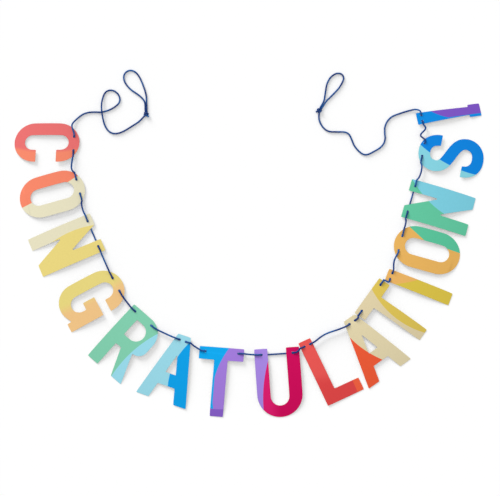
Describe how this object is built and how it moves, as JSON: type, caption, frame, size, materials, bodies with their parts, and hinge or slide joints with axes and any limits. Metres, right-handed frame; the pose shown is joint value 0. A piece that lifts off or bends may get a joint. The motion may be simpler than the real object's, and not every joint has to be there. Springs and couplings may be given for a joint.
{
  "type": "letter banner",
  "caption": "Party banner: card letters threaded on one cord that lies in a wide U, with a tail, a knot and a hanging loop at each end.",
  "frame": {"origin": "on the table, under the centre of the box round the threaded letters", "axes": "+X to the right along the banner's width, +Y up the page from the middle letters towards the two ends, +Z off the table towards the viewer"},
  "size_m": [0.9118, 0.6834, 0.0062],
  "materials": {
    "card_01_c": "matt printed card",
    "card_02_o": "matt printed card",
    "card_03_n": "matt printed card",
    "card_04_g": "matt printed card",
    "card_05_r": "matt printed card",
    "card_06_a": "matt printed card",
    "card_07_t": "matt printed card",
    "card_08_u": "matt printed card",
    "card_09_l": "matt printed card",
    "card_10_a": "matt printed card",
    "card_11_t": "matt printed card",
    "card_12_i": "matt printed card",
    "card_13_o": "matt printed card",
    "card_14_n": "matt printed card",
    "card_15_s": "matt printed card",
    "card_16_mark": "matt printed card",
    "cord": "twisted cotton cord"
  },
  "bodies": {
    "cord": {"cord_span_01_02": "cord", "cord_span_02_03": "cord", "cord_span_03_04": "cord", "cord_span_04_05": "cord", "cord_span_05_06": "cord", "cord_span_06_07": "cord", "cord_span_07_08": "cord", "cord_span_08_09": "cord", "cord_span_09_10": "cord", "cord_span_10_11": "cord", "cord_span_11_12": "cord", "cord_span_12_13": "cord", "cord_span_13_14": "cord", "cord_span_14_15": "cord", "cord_span_15_16": "cord", "cord_tail_left": "cord", "cord_tail_right": "cord", "knot_left": "cord", "knot_right": "cord", "hanging_loop_left": "cord", "hanging_loop_right": "cord"},
    "threading_01_c": {"cord_through_01_c": "cord"},
    "card_01_c": {"letter_01_c": "card_01_c"},
    "threading_02_o": {"cord_through_02_o": "cord"},
    "card_02_o": {"letter_02_o": "card_02_o"},
    "threading_03_n": {"cord_through_03_n": "cord"},
    "card_03_n": {"letter_03_n": "card_03_n"},
    "threading_04_g": {"cord_through_04_g": "cord"},
    "card_04_g": {"letter_04_g": "card_04_g"},
    "threading_05_r": {"cord_through_05_r": "cord"},
    "card_05_r": {"letter_05_r": "card_05_r"},
    "threading_06_a": {"cord_through_06_a": "cord"},
    "card_06_a": {"letter_06_a": "card_06_a"},
    "threading_07_t": {"cord_through_07_t": "cord"},
    "card_07_t": {"letter_07_t": "card_07_t"},
    "threading_08_u": {"cord_through_08_u": "cord"},
    "card_08_u": {"letter_08_u": "card_08_u"},
    "threading_09_l": {"cord_through_09_l": "cord"},
    "card_09_l": {"letter_09_l": "card_09_l"},
    "threading_10_a": {"cord_through_10_a": "cord"},
    "card_10_a": {"letter_10_a": "card_10_a"},
    "threading_11_t": {"cord_through_11_t": "cord"},
    "card_11_t": {"letter_11_t": "card_11_t"},
    "threading_12_i": {"cord_through_12_i": "cord"},
    "card_12_i": {"letter_12_i": "card_12_i"},
    "threading_13_o": {"cord_through_13_o": "cord"},
    "card_13_o": {"letter_13_o": "card_13_o"},
    "threading_14_n": {"cord_through_14_n": "cord"},
    "card_14_n": {"letter_14_n": "card_14_n"},
    "threading_15_s": {"cord_through_15_s": "cord"},
    "card_15_s": {"letter_15_s": "card_15_s"},
    "threading_16_mark": {"cord_through_16_mark": "cord"},
    "card_16_mark": {"letter_16_mark": "card_16_mark"}
  },
  "joints": [
    {"name": "slide_01_c", "type": "slide", "parent": "cord", "child": "threading_01_c", "axis": [-0.0052, -1, 0], "range_m": [-0.015, 0.0091], "deforming": ["cord_tail_left", "cord_span_01_02"]},
    {"name": "lift_01_c", "type": "hinge", "parent": "threading_01_c", "child": "card_01_c", "pos_m": [-0.33998, 0.2236, 0.00485], "axis": [0.0052, 1, 0], "range_deg": [0, 90], "deforming": ["cord_through_01_c"]},
    {"name": "slide_02_o", "type": "slide", "parent": "cord", "child": "threading_02_o", "axis": [0.279, -0.9603, 0], "range_m": [-0.0091, 0.0101], "deforming": ["cord_span_02_03"]},
    {"name": "lift_02_o", "type": "hinge", "parent": "threading_02_o", "child": "card_02_o", "pos_m": [-0.32771, 0.13328, 0.00485], "axis": [-0.279, 0.9603, 0], "range_deg": [0, 90], "deforming": ["cord_through_02_o"]},
    {"name": "slide_03_n", "type": "slide", "parent": "cord", "child": "threading_03_n", "axis": [0.4067, -0.9135, 0], "range_m": [-0.0101, 0.015], "deforming": ["cord_span_03_04"]},
    {"name": "lift_03_n", "type": "hinge", "parent": "threading_03_n", "child": "card_03_n", "pos_m": [-0.29615, 0.04004, 0.00485], "axis": [-0.4067, 0.9135, 0], "range_deg": [0, 90], "deforming": ["cord_through_03_n"]},
    {"name": "slide_04_g", "type": "slide", "parent": "cord", "child": "threading_04_g", "axis": [0.4848, -0.8746, 0], "range_m": [-0.015, 0.0099], "deforming": ["cord_span_04_05"]},
    {"name": "lift_04_g", "type": "hinge", "parent": "threading_04_g", "child": "card_04_g", "pos_m": [-0.24898, -0.0596, 0.00485], "axis": [-0.4848, 0.8746, 0], "range_deg": [0, 90], "deforming": ["cord_through_04_g"]},
    {"name": "slide_05_r", "type": "slide", "parent": "cord", "child": "threading_05_r", "axis": [0.7547, -0.6561, 0], "range_m": [-0.0099, 0.0122], "deforming": ["cord_span_05_06"]},
    {"name": "lift_05_r", "type": "hinge", "parent": "threading_05_r", "child": "card_05_r", "pos_m": [-0.18879, -0.13068, 0.00485], "axis": [-0.7547, 0.6561, 0], "range_deg": [0, 90], "deforming": ["cord_through_05_r"]},
    {"name": "slide_06_a", "type": "slide", "parent": "cord", "child": "threading_06_a", "axis": [0.9438, -0.3305, 0], "range_m": [-0.0122, 0.0084], "deforming": ["cord_span_06_07"]},
    {"name": "lift_06_a", "type": "hinge", "parent": "threading_06_a", "child": "card_06_a", "pos_m": [-0.12213, -0.16606, 0.00485], "axis": [-0.9438, 0.3305, 0], "range_deg": [0, 90], "deforming": ["cord_through_06_a"]},
    {"name": "slide_07_t", "type": "slide", "parent": "cord", "child": "threading_07_t", "axis": [0.9969, -0.0785, 0], "range_m": [-0.0084, 0.0088], "deforming": ["cord_span_07_08"]},
    {"name": "lift_07_t", "type": "hinge", "parent": "threading_07_t", "child": "card_07_t", "pos_m": [-0.05003, -0.18774, 0.00485], "axis": [-0.9969, 0.0785, 0], "range_deg": [0, 90], "deforming": ["cord_through_07_t"]},
    {"name": "slide_08_u", "type": "slide", "parent": "cord", "child": "threading_08_u", "axis": [0.9978, 0.0663, 0], "range_m": [-0.0088, 0.0005], "deforming": ["cord_span_08_09"]},
    {"name": "lift_08_u", "type": "hinge", "parent": "threading_08_u", "child": "card_08_u", "pos_m": [0.05204, -0.19059, 0.00485], "axis": [-0.9978, -0.0663, 0], "range_deg": [0, 90], "deforming": ["cord_through_08_u"]},
    {"name": "slide_09_l", "type": "slide", "parent": "cord", "child": "threading_09_l", "axis": [0.9078, 0.4195, 0], "range_m": [-0.0005, 0.004], "deforming": ["cord_span_09_10"]},
    {"name": "lift_09_l", "type": "hinge", "parent": "threading_09_l", "child": "card_09_l", "pos_m": [0.12911, -0.16527, 0.00485], "axis": [-0.9078, -0.4195, 0], "range_deg": [0, 90], "deforming": ["cord_through_09_l"]},
    {"name": "slide_10_a", "type": "slide", "parent": "cord", "child": "threading_10_a", "axis": [0.8192, 0.5736, 0], "range_m": [-0.004, 0.0007], "deforming": ["cord_span_10_11"]},
    {"name": "lift_10_a", "type": "hinge", "parent": "threading_10_a", "child": "card_10_a", "pos_m": [0.19262, -0.13135, 0.00485], "axis": [-0.8192, -0.5736, 0], "range_deg": [0, 90], "deforming": ["cord_through_10_a"]},
    {"name": "slide_11_t", "type": "slide", "parent": "cord", "child": "threading_11_t", "axis": [0.5878, 0.809, 0], "range_m": [-0.0007, 0.0009], "deforming": ["cord_span_11_12"]},
    {"name": "lift_11_t", "type": "hinge", "parent": "threading_11_t", "child": "card_11_t", "pos_m": [0.2285, -0.08541, 0.00485], "axis": [-0.5878, -0.809, 0], "range_deg": [0, 90], "deforming": ["cord_through_11_t"]},
    {"name": "slide_12_i", "type": "slide", "parent": "cord", "child": "threading_12_i", "axis": [0.3746, 0.9272, 0], "range_m": [-0.0009, 0.0084], "deforming": ["cord_span_12_13"]},
    {"name": "lift_12_i", "type": "hinge", "parent": "threading_12_i", "child": "card_12_i", "pos_m": [0.26787, -0.04309, 0.00485], "axis": [-0.3746, -0.9272, 0], "range_deg": [0, 90], "deforming": ["cord_through_12_i"]},
    {"name": "slide_13_o", "type": "slide", "parent": "cord", "child": "threading_13_o", "axis": [0.2756, 0.9613, 0], "range_m": [-0.0084, 0.003], "deforming": ["cord_span_13_14"]},
    {"name": "lift_13_o", "type": "hinge", "parent": "threading_13_o", "child": "card_13_o", "pos_m": [0.28782, 0.02184, 0.00485], "axis": [-0.2756, -0.9613, 0], "range_deg": [0, 90], "deforming": ["cord_through_13_o"]},
    {"name": "slide_14_n", "type": "slide", "parent": "cord", "child": "threading_14_n", "axis": [0.3007, 0.9537, 0], "range_m": [-0.003, 0.0133], "deforming": ["cord_span_14_15"]},
    {"name": "lift_14_n", "type": "hinge", "parent": "threading_14_n", "child": "card_14_n", "pos_m": [0.3115, 0.10859, 0.00485], "axis": [-0.3007, -0.9537, 0], "range_deg": [0, 90], "deforming": ["cord_through_14_n"]},
    {"name": "slide_15_s", "type": "slide", "parent": "cord", "child": "threading_15_s", "axis": [0.23, 0.9732, 0], "range_m": [-0.0133, 0.0147], "deforming": ["cord_span_15_16"]},
    {"name": "lift_15_s", "type": "hinge", "parent": "threading_15_s", "child": "card_15_s", "pos_m": [0.33903, 0.21034, 0.00485], "axis": [-0.23, -0.9732, 0], "range_deg": [0, 90], "deforming": ["cord_through_15_s"]},
    {"name": "slide_16_mark", "type": "slide", "parent": "cord", "child": "threading_16_mark", "axis": [-0.165, 0.9863, 0], "range_m": [-0.0147, 0.015], "deforming": ["cord_tail_right"]},
    {"name": "lift_16_mark", "type": "hinge", "parent": "threading_16_mark", "child": "card_16_mark", "pos_m": [0.33819, 0.27436, 0.00485], "axis": [0.165, -0.9863, 0], "range_deg": [0, 90], "deforming": ["cord_through_16_mark"]}
  ]
}
